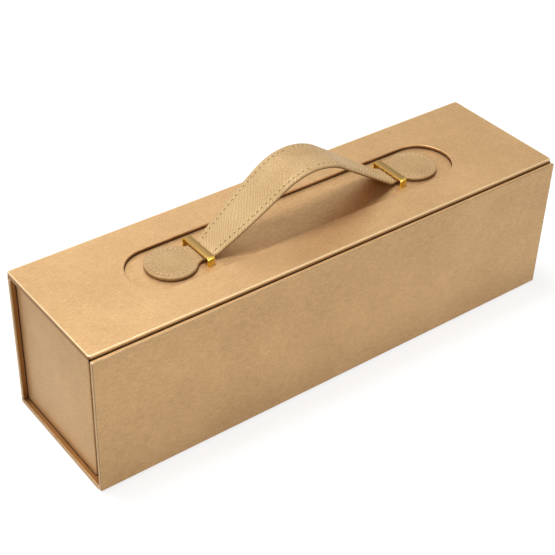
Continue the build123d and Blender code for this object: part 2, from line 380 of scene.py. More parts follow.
@dataclass(frozen=True)
class LeatherFinish(Finish):
    """The strap's leatherette: hairlines and fine pores, with painted shade on the tabs and the crown."""

    # Painted shade: the darker tone of the tabs and the crown.
    painted_leather_shade: Colour
    # The dark edge paint, which also paints the shade under the strap's edge.
    edge: Colour
    hair_pitch: float = 1.7 * MM
    hair_turn: float = -45.0
    wander: float = 12.0
    pore: float = 0.7 * MM
    grain: float = 1.2 * MM
    cloud: float = 22.0 * MM
    relief: float = 0.028 * MM
    roughness: float = 0.5
    pearl: float = 0.12
    shine: float = 0.2
    tab_start: float = 84.0 * MM
    tab_fade: float = 8.0 * MM
    crown_reach: float = 42.0 * MM

    def make(self) -> bpy.types.Material:
        """Makes the leatherette's material, with dark edge paint on the cut edge that also paints the shade
        under it, and smoother on the tabs.
        """
        graph = Graph(self.name)
        flat = graph.along()
        bias = graph.stretched(flat, 1.0, self.hair_turn)
        hairs = graph.lines(bias, self.hair_pitch, self.wander)
        pores = graph.pebbles(flat, self.pore)
        grain = graph.noise(flat, self.grain)
        cloud = graph.noise(flat, self.cloud)
        outward = graph.add("Math", {0: graph.part(flat, "X")}, {"operation": "ABSOLUTE"})
        tab = outward.rise(self.tab_start, self.tab_fade)
        middle = (1 - outward * (1 / self.crown_reach)).at_least(0.0)
        smooth = (tab + middle * 1.1).at_most(1.0)
        mix = hairs * (0.2 - smooth * 0.2) + cloud * 0.34 + grain * (0.46 + smooth * 0.2)
        share = ((mix - 0.5) * (1.8 - tab * 0.5) + 0.5).clipped()
        height = hairs * (0.36 - smooth * 0.3) + (1 - pores) * 0.64
        # Painted shade: the tabs and, less, the crown turn towards the darker tone.
        dark = graph.mixed(tab + middle * 0.7, self.dark, self.painted_leather_shade)
        leather = graph.mixed(share, dark, self.light)
        return graph.surface(
            {
                "Base Color": graph.mixed(graph.marked(PAINTED_SHADE_AND_EDGE), leather, self.edge),
                "Roughness": self.roughness + (0.5 - hairs) * 0.2,
                "Metallic": self.pearl,
                "Specular IOR Level": self.shine,
                "Normal": graph.relief(height, self.relief),
            }
        )


@dataclass(frozen=True)
class MetalFinish(Finish):
    """A polished or plated metal with fine scratches; over a certain height it turns satin, with a darker
    tone painted there as shade.
    """

    # The darker satin tone over the set height: painted shade on the loops' top bars.
    brushed: Colour
    satin_and_shade_from: float = 1.0
    satin_and_shade_fade: float = 0.12 * MM
    roughness: float = 0.3
    scratch: float = 0.35 * MM
    dulled: float = 3.0 * MM
    relief: float = 0.01 * MM

    def make(self) -> bpy.types.Material:
        """Makes the metal's material."""
        graph = Graph(self.name)
        where = graph.place()
        top = graph.part(where, "Z").rise(self.satin_and_shade_from, self.satin_and_shade_fade)
        scratches = graph.noise(graph.stretched(where, 14.0, axis=1), self.scratch, 2.0)
        dulling = graph.noise(where, self.dulled)
        polished = graph.mixed(dulling, self.dark, self.light)
        return graph.surface(
            {
                "Base Color": graph.mixed(top, polished, self.brushed),
                "Roughness": self.roughness + (dulling - 0.5) * 0.14 + top * 0.12,
                "Metallic": 1.0,
                "Normal": graph.relief(scratches, self.relief),
            }
        )


@dataclass(frozen=True)
class ThreadFinish(Finish):
    """Sewing thread with its twist, or the shade inside a needle hole."""

    twist: float = 0.3 * MM
    slant: float = 35.0
    roughness: float = 0.55
    relief: float = 0.05 * MM

    def make(self) -> bpy.types.Material:
        """Makes the thread's material."""
        graph = Graph(self.name)
        slanted = graph.stretched(graph.place(), 2.0, self.slant, axis=1)
        twist = graph.noise(slanted, self.twist, 2.0, 0.5)
        return graph.surface(
            {
                "Base Color": graph.mixed(twist, self.dark, self.light),
                "Roughness": self.roughness + (0.5 - twist) * 0.2,
                "Normal": graph.relief(twist, self.relief),
            }
        )


@dataclass(frozen=True)
class FlockFinish(Finish):
    """Foam with a short flocked pile that brushes lighter and darker."""

    pile: float = 0.5 * MM
    stroke: float = 26.0 * MM
    roughness: float = 0.9
    sheen: float = 0.5
    relief: float = 0.25 * MM

    def make(self) -> bpy.types.Material:
        """Makes the flock's material."""
        graph = Graph(self.name)
        where = graph.place()
        pile = graph.noise(where, self.pile, 4.0, 0.8)
        brushed = graph.noise(graph.stretched(where, 1.7, 20.0), self.stroke)
        return graph.surface(
            {
                "Base Color": graph.mixed(pile * 0.5 + brushed * 0.5, self.dark, self.light),
                "Roughness": self.roughness + (0.5 - pile) * 0.2,
                "Sheen Weight": self.sheen,
                "Sheen Roughness": 0.4,
                "Normal": graph.relief(pile, self.relief),
            }
        )


class Finishes:
    """Every finish on the box, each made once."""

    def __init__(self) -> None:
        """Makes the materials."""
        self.paper = PaperFinish("gold_paper", tone(230, 189, 136), tone(192, 151, 102)).make()
        self.lining = PaperFinish(
            "lining_paper",
            tone(236, 224, 198),
            tone(218, 202, 172),
            grain=1.6 * MM,
            roughness=0.72,
            pearl=0.0,
            contrast=1.8,
        ).make()
        self.core = PaperFinish(
            "grey_board",
            tone(176, 166, 150),
            tone(132, 124, 112),
            grain=1.4 * MM,
            roughness=0.9,
            pearl=0.0,
        ).make()
        # A near-black finish: painted shade round the foot of the recess wall, and the dark glue and shade
        # line at the tray's foot.
        self.painted_shade_and_glue = PaperFinish(
            "painted_shade_and_glue",
            tone(92, 60, 32),
            tone(54, 32, 14),
            grain=0.8 * MM,
            roughness=0.85,
            pearl=0.0,
        ).make()
        # Painted shade: the gold paper in dark tones, for the paper down in the groove between the lid and
        # the flap.
        crease = tone(84, 54, 28)
        self.crease = PaperFinish(
            "crease_paper", crease, tone(52, 32, 14), painted_shade_tone=crease, roughness=0.6, pearl=0.3
        ).make()
        self.leather = LeatherFinish(
            "strap_leather",
            light=tone(228, 197, 148),
            dark=tone(176, 140, 90),
            painted_leather_shade=tone(136, 90, 36),
            edge=tone(122, 84, 44),
        ).make()
        self.brass = MetalFinish(
            "polished_brass",
            tone(255, 220, 104),
            tone(246, 206, 92),
            # The loops' top bars take a darker tone: painted shade.
            brushed=tone(172, 138, 82),
            satin_and_shade_from=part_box("left_brass_loop")[1].z - Loops.edge,
        ).make()
        nickel = tone(214, 212, 206)
        self.nickel = MetalFinish(
            "nickel_plate", nickel, tone(182, 180, 176), brushed=nickel, roughness=0.22
        ).make()
        self.thread = ThreadFinish("strap_thread", tone(236, 208, 164), tone(206, 172, 122)).make()
        self.hole = ThreadFinish("needle_hole", tone(84, 50, 22), tone(48, 26, 10)).make()
        self.flock = FlockFinish("flocked_foam", tone(126, 100, 76), tone(74, 55, 40)).make()


def put_up(name: str, data: Any) -> bpy.types.Object:
    """Puts a mesh, a camera or a lamp into the scene.

    Args:
        name: The name of the object.
        data: The mesh, the camera or the lamp.

    Returns:
        The object, at the origin.
    """
    made = bpy.data.objects.new(name, data)
    bpy.context.scene.collection.objects.link(made)
    return made


@dataclass
class Bench:
    """Turns a finished mesh into a named piece of the box."""

    finishes: Finishes
    smooth_under: float = math.radians(38)

    def piece(
        self, name: str, mesh: bmesh.types.BMesh, finish: bpy.types.Material, slot: Slot
    ) -> bpy.types.Object:
        """Makes a piece of a mesh, with smooth shading up to a crease.

        Args:
            name: The piece's name.
            mesh: The finished mesh, which is freed.
            finish: Its material.
            slot: Not used.

        Returns:
            The piece, at the origin, with its place in its mesh.
        """
        data = bpy.data.meshes.new(name)
        mesh.to_mesh(data)
        mesh.free()
        data.materials.append(finish)
        data.shade_smooth()
        data.set_sharp_from_angle(angle=self.smooth_under)
        made = put_up(name, data)
        LOG.info("%s: %d faces", name, len(data.polygons))
        return made

    def dress(self, finish: bpy.types.Material, *nodes: str) -> None:
        """Gives parts of the frame their finish.

        Args:
            finish: The material.
            nodes: The names of the parts.
        """
        for node in nodes:
            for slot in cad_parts[node].material_slots:
                slot.material = finish
            LOG.info("%s: kept from the frame", node)


def only(geom: Sequence[Any], kind: type) -> list[Any]:
    """Picks the points or the faces out of what a mesh operator gives back."""
    return [item for item in geom if isinstance(item, kind)]


def closed(mesh: bmesh.types.BMesh) -> bmesh.types.BMesh:
    """Merges what lies together and turns the faces outwards.

    Args:
        mesh: A mesh whose skin closes on itself.

    Returns:
        The same mesh.
    """
    bmesh.ops.remove_doubles(mesh, verts=mesh.verts, dist=1e-6)
    bmesh.ops.recalc_face_normals(mesh, faces=mesh.faces)
    return mesh


def rounded(
    mesh: bmesh.types.BMesh, edges: list[bmesh.types.BMEdge], radius: float, steps: int
) -> None:
    """Rounds edges of a mesh off.

    Args:
        mesh: The mesh.
        edges: The edges.
        radius: How far the round reaches.
        steps: How many strips it has.
    """
    bmesh.ops.bevel(
        mesh, geom=edges, offset=radius, segments=steps, profile=0.5, affect="EDGES", material=-1
    )


def block(middle: Vector, size: Sequence[float]) -> Matrix:
    """Gives the matrix that makes a unit cube a block of a size at a place."""
    return Matrix.Translation(middle) @ Matrix.Diagonal((*size, 1.0))


def fall(radius: float, inset: float) -> float:
    """Gives how far a rounded edge falls below its face at a distance from the edge."""
    return radius - math.sqrt(radius**2 - (radius - inset) ** 2) if inset < radius else 0.0


def quarter() -> list[Pair]:
    """Gives 1 less the cosine and 1 less the sine at each step of a quarter round."""
    angles = [math.radians(90 * step / ROUND_STEPS) for step in range(ROUND_STEPS + 1)]
    return [(1 - math.cos(angle), 1 - math.sin(angle)) for angle in angles]


@dataclass
class Board:
    """A board wrapped in paper, its edges softened by the paper."""

    low: Vector
    high: Vector
    inner_face: tuple[float, float, float]
    edge_radius: float = 0.5 * MM
    widest_strip: float = 2.0 * MM
    facing: float = 0.9

    def build(self) -> bmesh.types.BMesh:
        """Makes the board's mesh, its face inside the cover marked for painted shade and its rounded edges
        for a painted highlight.
        """
        mesh = bmesh.new()
        matrix = block((self.low + self.high) / 2, self.high - self.low)
        bmesh.ops.create_cube(mesh, size=1.0, matrix=matrix)
        rounded(mesh, mesh.edges[:], self.edge_radius, ROUND_STEPS)
        wide = [face for face in mesh.faces if face.calc_area() > self.widest_strip**2]
        bmesh.ops.inset_individual(mesh, faces=wide, thickness=self.edge_radius / 2)
        painted_shade_and_edge = mesh.verts.layers.float.new(PAINTED_SHADE_AND_EDGE)
        painted_highlight = mesh.verts.layers.float.new(PAINTED_HIGHLIGHT)
        # Painted highlight on the rounded edges: every point takes it, and the wide faces are cleared of it
        # below.
        for vert in mesh.verts:
            vert[painted_highlight] = 1.0
        # The wide faces lose the painted highlight, and the face inside the cover takes painted shade.
        for face in wide:
            inside = face.normal.dot(Vector(self.inner_face)) > self.facing
            for vert in face.verts:
                vert[painted_highlight] = 0.0
                vert[painted_shade_and_edge] = 1.0 if inside else vert[painted_shade_and_edge]
        return closed(mesh)


@dataclass
class Ring:
    """One level loop: a circle pulled apart into a stadium or a rounded rectangle."""

    half_x: float
    half_y: float
    radius: float
    height: float
    # How strongly its points take painted shade and a painted highlight.
    painted_shade_and_edge: float = 0.0
    painted_highlight: float = 0.0

    STEPS = 64

    def point(self, step: int) -> Vector:
        """Gives one of the loop's points.

        Args:
            step: The point's number, counted round the loop from the right.

        Returns:
            The point, seen from the loop's middle.
        """
        angle = 2 * math.pi * (step + 0.5) / self.STEPS
        way = Vector((math.cos(angle), math.sin(angle), 0))
        corner = Vector((self.half_x - self.radius, self.half_y - self.radius, 0))
        out = Vector((math.copysign(corner.x, way.x), math.copysign(corner.y, way.y), self.height))
        return out + way * self.radius


def ring_shell(rings: Sequence[Ring], centre: Vector) -> bmesh.types.BMesh:
    """Lays a closed skin through a row of loops and back to the first.

    Args:
        rings: The loops, in order round the section.
        centre: The middle of all of them, seen from above.

    Returns:
        The closed mesh.
    """
    mesh = bmesh.new()
    bmesh.ops.create_grid(mesh, x_segments=Ring.STEPS, y_segments=len(rings), size=1.0)
    painted_shade_and_edge = mesh.verts.layers.float.new(PAINTED_SHADE_AND_EDGE)
    painted_highlight = mesh.verts.layers.float.new(PAINTED_HIGHLIGHT)
    for vert in mesh.verts:
        step = round((vert.co.x + 1) / 2 * Ring.STEPS)
        ring = rings[round((vert.co.y + 1) / 2 * len(rings)) % len(rings)]
        vert[painted_shade_and_edge] = ring.painted_shade_and_edge
        vert[painted_highlight] = ring.painted_highlight
        vert.co = Vector((centre.x, centre.y, 0)) + ring.point(step)
    return closed(mesh)


@dataclass
class Fold:
    """A paper fold along the box: its profile in Y and Z, drawn along X, and what it joins."""

    name: str
    profile: list[Pair]
    half_length: float
    thickness: float
    first: str
    second: str
    start: Pair = (0.0, 0.0)
    end: Pair = (0.0, 0.0)

    SMOOTHINGS = 2

    def mesh(self) -> bmesh.types.BMesh:
        """Makes the fold's mesh, closed."""
        mesh = bmesh.new()
        verts = [mesh.verts.new((-self.half_length, y, z)) for y, z in self.profile]
        edges = [mesh.edges.new(pair) for pair in zip(verts, verts[1:])]
        for _ in range(self.SMOOTHINGS):
            bmesh.ops.subdivide_edges(mesh, edges=edges, cuts=1)
            inner = [vert for vert in mesh.verts if len(vert.link_edges) != 1]
            bmesh.ops.smooth_vert(
                mesh, verts=inner, factor=0.5, use_axis_x=False, use_axis_y=True, use_axis_z=True
            )
            edges = mesh.edges[:]
        made = bmesh.ops.extrude_edge_only(mesh, edges=edges)["geom"]
        moved = only(made, bmesh.types.BMVert)
        bmesh.ops.translate(mesh, verts=moved, vec=(2 * self.half_length, 0, 0))
        bmesh.ops.recalc_face_normals(mesh, faces=mesh.faces)
        bmesh.ops.solidify(mesh, geom=mesh.faces[:], thickness=self.thickness)
        bmesh.ops.recalc_face_normals(mesh, faces=mesh.faces)
        return mesh

    def lay(self, bench: Bench, finish: bpy.types.Material, slot: Slot) -> bpy.types.Object:
        """Makes the piece and lets it follow the bodies that it joins.

        Args:
            bench: What makes the piece.
            finish: Its material.
            slot: Passed on to the bench, which does not use it.

        Returns:
            The piece.
        """
        made = bench.piece(self.name, self.mesh(), finish, slot)
        if self.first == self.second:
            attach(made, self.first)
        else:
            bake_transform(made, self.first, self.second, (0, *self.start), (0, *self.end))
        return made


@dataclass
class Case:
    """The book-style case: four wrapped boards and the folds between them."""

    bench: Bench
    skin: float = 0.1 * MM
    soft: float = 0.5 * MM
    flat_from: float = 0.8 * MM
    corner: float = 1.6 * MM
    drawn_in: float = 1.1 * MM
    turn_in: float = 2.8 * MM
    turned_up: float = 0.3 * MM
    flange: float = 0.6 * MM
    hole_gap: float = 0.2 * MM
    shade_band_height: float = 1.15 * MM
    shade_band_proud: float = 0.03 * MM
    shade_band_sunk: float = 0.3 * MM
    groove: float = 1.05 * MM
    tuck: float = 0.7 * MM
    paper: float = 0.25 * MM
    thin_paper: float = 0.14 * MM

    def __post_init__(self) -> None:
        """Reads where the boards are."""
        self.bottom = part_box("bottom_board")
        self.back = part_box("back_board")
        self.lid_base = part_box("lid_base_board")
        self.lid_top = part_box("lid_top_board")
        self.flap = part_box("flap_board")

    def build(self) -> None:
        """Builds the boards and the folds, and dresses the paper panels."""
        self.boards()
        self.lid_cover()
        finishes = self.bench.finishes
        self.bench.dress(finishes.lining, "lid_liner_paper", "flap_liner_paper")
        self.bench.dress(finishes.paper, "recess_liner_paper")
        self.back_folds()
        self.flap_folds()

    def boards(self) -> None:
        """Builds the plain boards: the bottom, the back and the flap."""
        rows = (
            ("bottom_cover", "bottom_board", "case", self.bottom, (0, 0, 1)),
            ("back_cover", "back_board", "case", self.back, (0, -1, 0)),
            ("flap_cover", "flap_board", "flap", self.flap, (0, 1, 0)),
        )
        for name, node, body, (low, high), inner in rows:
            mesh = Board(low, high, inner).build()
            made = self.bench.piece(name, mesh, self.bench.finishes.paper, Slot.BOARD)
            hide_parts(node)
            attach(made, body)

    def lid_cover(self) -> None:
        """Builds the lid's two boards in their paper, drawn in round the lower edge."""
        low, high = self.lid_top
        half = (high - low) / 2
        centre = (low + high) / 2
        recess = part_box("recess_liner_paper")
        hole_half = (recess[1] - recess[0]) / 2 + Vector((self.hole_gap, self.hole_gap, 0))
        soft = self.soft
        lowest = self.lid_base[0].z - self.skin
        inside = self.lid_base[0].z + self.turned_up

        def hole(out: float, height: float, painted_shade_and_edge: float = 0.0) -> Ring:
            """Draws a loop round the hole over the recess."""
            return Ring(hole_half.x + out, hole_half.y + out, hole_half.y + out, height, painted_shade_and_edge)

        def rim(inset: float, height: float, painted_shade_and_edge: float = 0.0, painted_highlight: float = 0.0) -> Ring:
            """Draws a loop inside the lid's outline."""
            return Ring(half.x - inset, half.y - inset, self.corner, height, painted_shade_and_edge, painted_highlight)

        # The recess wall takes painted shade, from its foot up to where its round starts.
        rings = [hole(0.0, low.z, 1.0)]
        for across, down in quarter():
            rings.append(hole(soft * across, high.z - soft * down, 1.0 if across == 0 else 0.0))
        rings += [hole(self.flat_from, high.z), rim(self.flat_from, high.z)]
        # The outer edge: a painted highlight on its top round, painted shade from the side down round the
        # drawn-in lower edge.
        for across, down in quarter():
            inset = soft * down - self.skin * (1 - down)
            rings.append(rim(inset, high.z - soft * across, 1.0 if down == 0 else 0.0, 1.0))
        for across, down in quarter():
            rings.append(rim(self.drawn_in * across - self.skin, lowest + self.drawn_in * down, 1.0))
        rings += [rim(self.turn_in, lowest), rim(self.turn_in, inside)]
        rings += [hole(-self.flange, inside), hole(-self.flange, low.z)]
        cover = ring_shell(rings, centre)
        painted_shade_and_edge = cover.verts.layers.float[PAINTED_SHADE_AND_EDGE]
        # The front side, down to the foot of the top board, is left without painted shade.
        for vert in cover.verts:
            if vert.co.y < low.y and vert.co.z > low.z:
                vert[painted_shade_and_edge] = 0.0
        made = self.bench.piece("lid_cover", cover, self.bench.finishes.paper, Slot.BOARD)
        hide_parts("lid_top_board", "lid_base_board")
        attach(made, "lid")
        # Painted shade: a near-black band round the foot of the recess wall.
        shade_band_top = recess[1].z + self.shade_band_height
        proud = -self.shade_band_proud
        section = ((proud, low.z), (proud, shade_band_top), (self.shade_band_sunk, shade_band_top), (self.shade_band_sunk, low.z))
        band = ring_shell([hole(out, height) for out, height in section], centre)
        edge = self.bench.piece("recess_painted_shade_band", band, self.bench.finishes.painted_shade_and_glue, Slot.BOARD)
        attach(edge, "lid")

    def dip(self, low: float, high: float) -> list[Pair]:
        """Draws the paper that dips into a groove of the back.

        Args:
            low: The height of the groove's lower side.
            high: The height of its upper side.

        Returns:
            The profile in Y and Z, from below.
        """
        outer = self.back[1].y
        skin = outer - 0.12 * MM
        lip = outer - 0.3 * MM
        return [
            (skin, low - self.tuck),
            (lip, low - 0.1 * MM),
            (outer - self.groove, (low + high) / 2),
            (lip, high + 0.1 * MM),
            (skin, high + self.tuck),
        ]

    def back_folds(self) -> None:
        """Builds the folds at the foot of the back and between the back and the lid."""
        finishes = self.bench.finishes
        half = self.bottom[1].x
        tray_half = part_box("tray_wrap_paper")[1].x
        top = self.back[1].z
        outer = self.back[1].y
        inner = self.back[0].y
        under = self.lid_base[0].z
        foot = self.dip(self.bottom[1].z, self.back[0].z)
        made = Fold("back_fold", foot, half, self.paper, "case", "case").lay(
            self.bench, finishes.paper, Slot.PAPER
        )
        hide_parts("back_crease_paper")
        ends = ((outer, top - 0.1 * MM), (outer, under + 0.1 * MM))
        outside = Fold("lid_fold_outside", self.dip(top, under), half, self.paper, "case", "lid", *ends)
        made = outside.lay(self.bench, finishes.paper, Slot.PAPER)
        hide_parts("lid_hinge_paper")
        profile = [
            (inner - 3.0 * MM, under - 0.25 * MM),
            (inner - 0.6 * MM, under - 0.25 * MM),
            (inner + 0.5 * MM, under - 0.3 * MM),
            (inner + 0.4 * MM, top - 0.35 * MM),
        ]
        ends = ((inner + 0.5 * MM, top - 0.2 * MM), (inner - 0.4 * MM, under - 0.1 * MM))
        inside = Fold("lid_fold_inside", profile, tray_half, 0.15 * MM, "case", "lid", *ends)
        inside.lay(self.bench, finishes.lining, Slot.LINING)

    def flap_folds(self) -> None:
        """Builds the fold between the lid and the flap, outside and inside."""
        finishes = self.bench.finishes
        half = self.bottom[1].x
        under = self.lid_base[0].z
        lid = self.lid_base[0].y
        flap = self.flap[1].y
        hinge = self.flap[1].z - 0.7 * MM
        profile = [
            (lid - 0.02 * MM, hinge + 1.3 * MM),
            (lid - 0.06 * MM, hinge + 0.8 * MM),
            (lid - 0.06 * MM, hinge - 0.9 * MM),
            (flap + 0.5 * MM, hinge - 1.3 * MM),
            (flap + 0.14 * MM, hinge - 0.8 * MM),
            (flap + 0.12 * MM, hinge),
        ]
        ends = ((lid - 0.1 * MM, hinge), (flap + 0.14 * MM, hinge))
        outside = Fold("flap_fold_outside", profile, half, self.thin_paper, "lid", "flap", *ends)
        # The dark crease paper paints the shade in the groove.
        made = outside.lay(self.bench, finishes.crease, Slot.PAPER)
        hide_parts("flap_hinge_paper")
        profile = [
            (lid + 3.0 * MM, under - 0.42 * MM),
            (lid + 0.9 * MM, under - 0.45 * MM),
            (lid + 0.2 * MM, under - 1.0 * MM),
            (flap + 0.6 * MM, under - 1.6 * MM),
            (flap + 0.3 * MM, under - 2.0 * MM),
            (flap + 0.3 * MM, under - 3.8 * MM),
        ]
        ends = ((lid + 0.7 * MM, under - 0.6 * MM), (flap + 0.35 * MM, under - 0.6 * MM))
        inside = Fold("flap_fold_inside", profile, half - 0.6 * MM, 0.2 * MM, "lid", "flap", *ends)
        inside.lay(self.bench, finishes.paper, Slot.PAPER)


@dataclass
class Tray:
    """The glued tray: boards, the paper round them, the lining, and the magnets."""

    bench: Bench
    paper: float = 0.3 * MM
    lining: float = 0.12 * MM
    corner: float = 1.0 * MM
    soft: float = 0.5 * MM
    over_lining: float = 0.02 * MM
    glue_and_shade_size: float = 0.5 * MM

    def __post_init__(self) -> None:
        """Reads where the tray is."""
        self.low, self.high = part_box("tray_wrap_paper")
        self.half = (self.high - self.low) / 2
        self.centre = (self.low + self.high) / 2

    def build(self) -> None:
        """Dresses the boards and builds the paper round them and the dark glue line at their foot, whose
        dark colour also paints the shade there.
        """
        finishes = self.bench.finishes
        walls = ("tray_left_end", "tray_right_end", "tray_back_wall", "tray_front_wall")
        self.bench.dress(finishes.core, "tray_floor", *walls)
        self.bench.dress(finishes.lining, "tray_lining")
        self.bench.dress(finishes.nickel, "tray_magnets")
        self.wrap()
        self.joint()

    def ring(self, inset: float, radius: float, height: float) -> Ring:
        """Draws a loop inside the tray's outline."""
        return Ring(self.half.x - inset, self.half.y - inset, radius, height)

    def wrap(self) -> None:
        """Builds the paper that wraps the tray and turns in over its rim."""
        wall = self.half.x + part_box("tray_left_end")[1].x
        rim = wall + self.lining
        tight = self.corner / 2
        lining_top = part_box("tray_lining")[1].z + self.over_lining
        inner = self.corner - self.paper
        rings = [self.ring(self.paper, inner, self.low.z), self.ring(0.0, self.corner, self.low.z)]
        for across, down in quarter():
            inset = self.soft * across
            rings.append(self.ring(inset, self.corner - inset, self.high.z - self.soft * down))
        for across, down in quarter():
            rings.append(self.ring(rim - self.soft * down, tight, self.high.z - self.soft * across))
        rings += [self.ring(rim, tight, lining_top), self.ring(wall, tight, lining_top)]
        under = self.high.z - self.paper
        rings += [self.ring(wall, tight, under), self.ring(self.paper, inner, under)]
        mesh = ring_shell(rings, self.centre)
        made = self.bench.piece("tray_paper", mesh, self.bench.finishes.paper, Slot.PAPER)
        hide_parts("tray_wrap_paper")
        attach(made, "case")

    def joint(self) -> None:
        """Builds the dark line where the tray is glued to the bottom and the back: a glue bead whose dark
        colour also paints the shade in that crevice.
        """
        out = self.glue_and_shade_size
        section = ((out, 0.0), (-out, 0.0), (-out * 0.7, out * 0.7), (out, out))
        rings = [self.ring(inset, self.corner, self.low.z + rise) for inset, rise in section]
        mesh = ring_shell(rings, self.centre)
        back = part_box("back_board")[0].y
        tall = self.high.z - self.low.z - 2 * out
        for side in (-1, 1):
            place = Vector((side * self.half.x, back - out * 0.4, self.low.z + out + tall / 2))
            bmesh.ops.create_cube(mesh, size=1.0, matrix=block(place, (out * 1.4, out, tall)))
        made = self.bench.piece("tray_glue_and_shade_line", mesh, self.bench.finishes.painted_shade_and_glue, Slot.PAPER)
        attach(made, "case")


@dataclass
class MagnetBar:
    """The bar inside the flap that carries its magnets, with the paper that faces them."""

    bench: Bench

    def build(self) -> None:
        """Dresses the bar, its magnets and its facing."""
        finishes = self.bench.finishes
        self.bench.dress(finishes.paper, "magnet_bar")
        self.bench.dress(finishes.lining, "magnet_bar_facing_paper")
        self.bench.dress(finishes.nickel, "flap_magnets")


@dataclass
class BottleBed:
    """The flocked foam under the bottle: a long bed for its body and a rest for its neck."""

    bench: Bench
    body_radius: float = 38.0 * MM
    neck_radius: float = 15.0 * MM
    body_end: float = -150.5 * MM
    shoulder: float = 45.0 * MM
    neck: float = 95.0 * MM
    mouth: float = 150.5 * MM
    axis_height: float = 50.9 * MM
    axis_side: float = 4.4 * MM
    rounding: float = 2.0 * MM
    smoothings: int = 2
    fill: float = 0.95

    def build(self) -> None:
        """Builds both blocks."""
        self.foam("bottle_bed_pad", "bottle_bed_foam", (150, 60))
        self.foam("neck_rest_pad", "neck_rest_foam", (60, 60))

    def radius(self, x: float) -> float:
        """Gives the radius of the bottle.

        Args:
            x: The place along the box.

        Returns:
            The radius there, 0 past the bottle's ends.
        """
        if x < self.body_end or x > self.mouth:
            return 0.0
        share = min(max((x - self.shoulder) / (self.neck - self.shoulder), 0.0), 1.0)
        ease = share * share * (3 - 2 * share)
        return self.body_radius + (self.neck_radius - self.body_radius) * ease

    def top(self, x: float, y: float, block_top: float) -> float:
        """Gives the height of the foam's top, with the hollow for the bottle in it.

        Args:
            x: The place along the box.
            y: The place across it.
            block_top: The height of the block beside the hollow.

        Returns:
            The height there.
        """
        radius = self.radius(x)
        side = abs(y - self.axis_side)
        if side >= radius:
            return block_top
        return min(block_top, self.axis_height - math.sqrt(radius * radius - side * side))

    def foam(self, name: str, node: str, cuts: tuple[int, int]) -> None:
        """Builds one block of foam.

        Args:
            name: The piece's name.
            node: The foam of the frame that it stands for.
            cuts: How finely the top is divided, along the box and across it.
        """
        low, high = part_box(node)
        matrix = block((low + high) / 2, (high.x - low.x, high.y - low.y, 1.0))
        mesh = bmesh.new()
        bmesh.ops.create_grid(mesh, x_segments=cuts[0], y_segments=cuts[1], size=0.5, matrix=matrix)
        for vert in mesh.verts:
            vert.co.z = self.top(vert.co.x, vert.co.y, high.z)
        inner = [vert for vert in mesh.verts if not vert.is_boundary]
        for _ in range(self.smoothings):
            bmesh.ops.smooth_vert(
                mesh, verts=inner, factor=0.5, use_axis_x=False, use_axis_y=False, use_axis_z=True
            )
        for vert in mesh.verts:
            edge = min(vert.co.x - low.x, high.x - vert.co.x, vert.co.y - low.y, high.y - vert.co.y)
            if vert.co.z > high.z - self.rounding:
                vert.co.z = min(vert.co.z, high.z - fall(self.rounding, edge))
        rim = [edge for edge in mesh.edges if edge.is_boundary]
        made = bmesh.ops.extrude_edge_only(mesh, edges=rim)["geom"]
        for vert in only(made, bmesh.types.BMVert):
            vert.co.z = low.z
        bottom = [edge for edge in mesh.edges if edge.is_boundary]
        bmesh.ops.contextual_create(mesh, geom=bottom)
        piece = self.bench.piece(name, closed(mesh), self.bench.finishes.flock, Slot.FOAM)
        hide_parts(node)
        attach(piece, "case")


